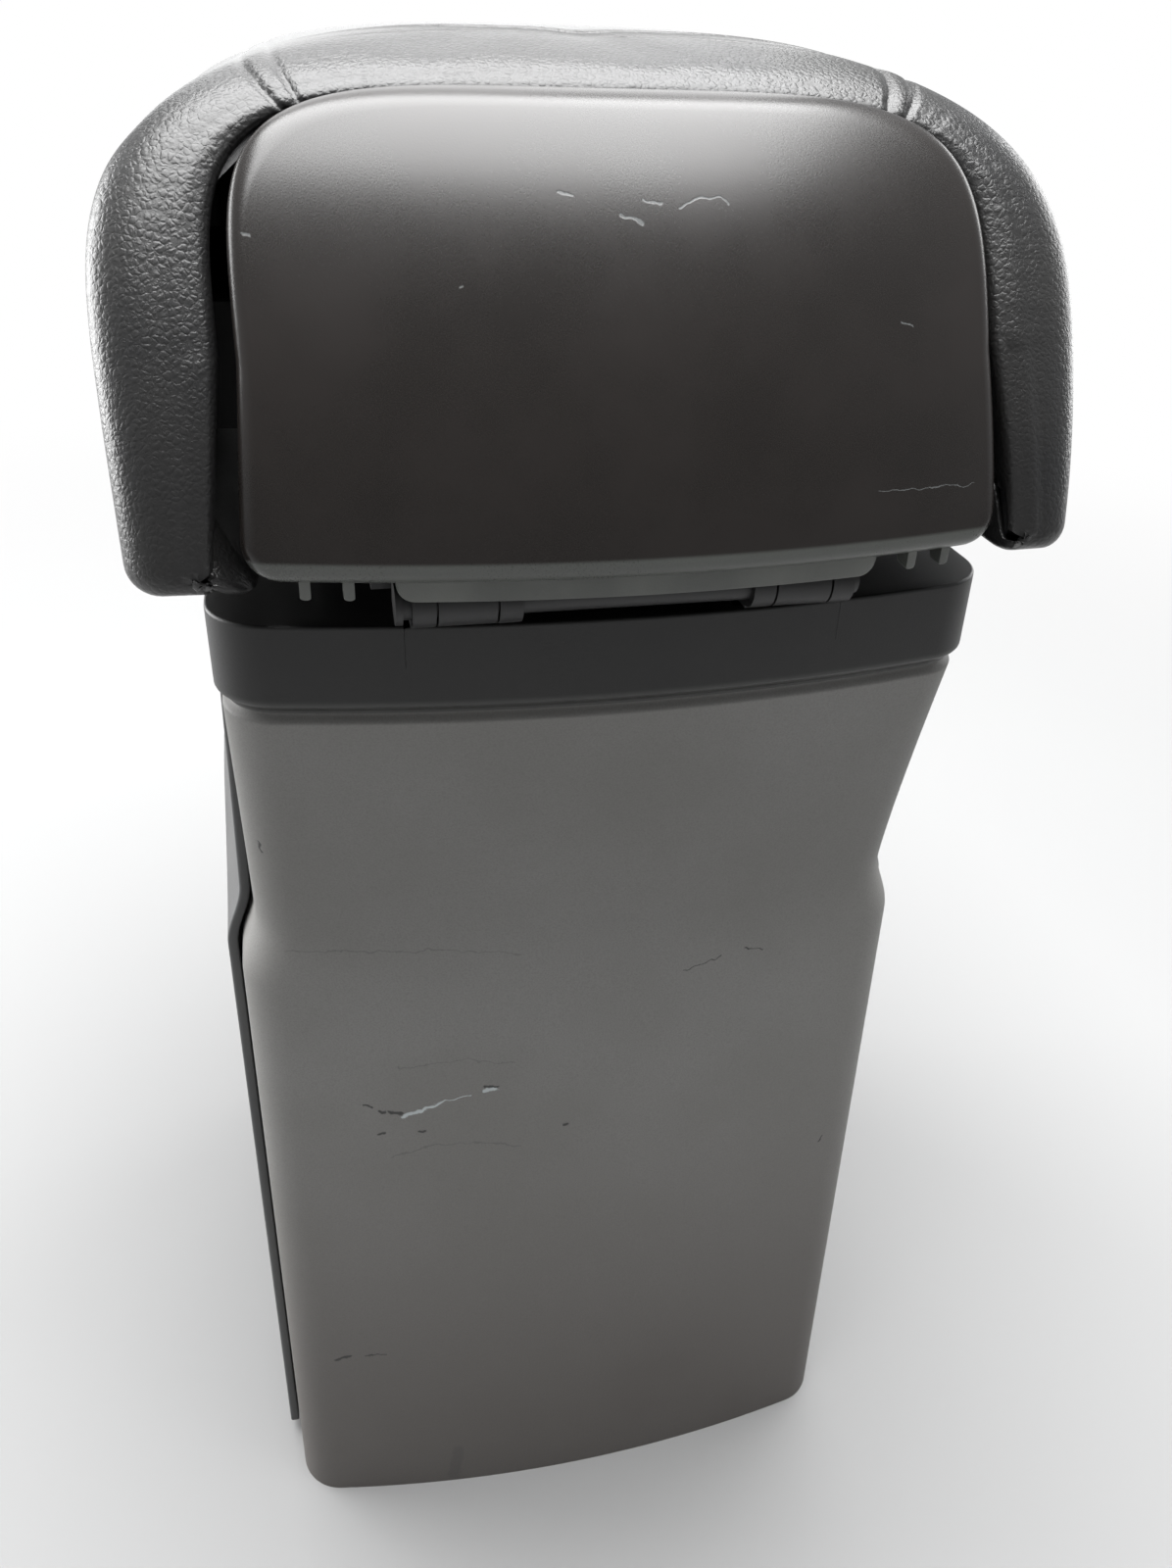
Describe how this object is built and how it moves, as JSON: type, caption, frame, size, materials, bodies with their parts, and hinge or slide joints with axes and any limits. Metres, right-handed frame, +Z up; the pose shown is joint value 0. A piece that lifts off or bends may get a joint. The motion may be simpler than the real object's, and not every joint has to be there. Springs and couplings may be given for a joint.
{
  "type": "car centre armrest",
  "caption": "Car centre armrest on a pedestal with a storage bin: a leather-covered pad that slides forward on a hinged lid, with a hard cap over the hinge.",
  "frame": {"origin": "On the floor under the pedestal, at the middle of the bounding box", "axes": "+Z up, +Y to the front of the car, +X to the right seen from behind; the end cap and the hinge are at the back, on the -Y side"},
  "size_m": [0.172, 0.2995, 0.368],
  "materials": {
    "grey_shell": "fine-grained grey moulding",
    "dark_panel": "dark grey grained moulding",
    "black_plastic": "satin black moulding",
    "cap_plastic": "satin black, fine grain, scratched",
    "leather": "black pebble grain",
    "foam": "moulded foam",
    "rubber": "matt",
    "black_steel": "electro-coated black",
    "zinc_steel": "zinc plated",
    "runner_plastic": "natural low-friction plastic"
  },
  "bodies": {
    "pedestal": {"rear_shell": "grey_shell", "front_shell": "grey_shell", "side_panel_left": "dark_panel", "side_panel_right": "dark_panel", "collar": "black_plastic", "storage_bin": "black_plastic", "bin_mat": "rubber", "mounting_bracket": "black_steel", "bracket_screws": "zinc_steel", "hinge_bracket": "black_steel", "shell_screws": "zinc_steel", "hinge_screws": "zinc_steel", "hinge_pin": "zinc_steel", "latch_striker": "zinc_steel"},
    "lid": {"lid_core": "black_plastic", "lid_liner": "black_plastic", "liner_screws": "zinc_steel", "lid_bumpers": "rubber", "end_cap": "cap_plastic", "cap_screws": "zinc_steel", "hinge_leaf": "black_steel", "leaf_screws": "zinc_steel", "rail_left": "zinc_steel", "rail_right": "zinc_steel", "rail_screws": "zinc_steel", "latch_pin": "zinc_steel", "latch_spring": "zinc_steel"},
    "latch": {"latch_lever": "black_plastic"},
    "pad": {"pad_carrier": "black_plastic", "runner_left": "runner_plastic", "runner_right": "runner_plastic", "runner_screws": "zinc_steel", "nose_panel": "black_plastic", "pad_foam": "foam", "pad_cover": "leather"}
  },
  "joints": [
    {"name": "lid_hinge", "type": "hinge", "parent": "pedestal", "child": "lid", "pos_m": [0, -0.139, 0.2855], "axis": [1, 0, 0], "range_deg": [0, 85]},
    {"name": "pad_slide", "type": "slide", "parent": "lid", "child": "pad", "axis": [0, 1, 0], "range_m": [0, 0.07]},
    {"name": "latch_release", "type": "hinge", "parent": "lid", "child": "latch", "pos_m": [0, 0.071, 0.2755], "axis": [1, 0, 0], "range_deg": [0, 12], "stiffness_Nm_per_rad": 0.5, "springref_deg": -5.73}
  ]
}
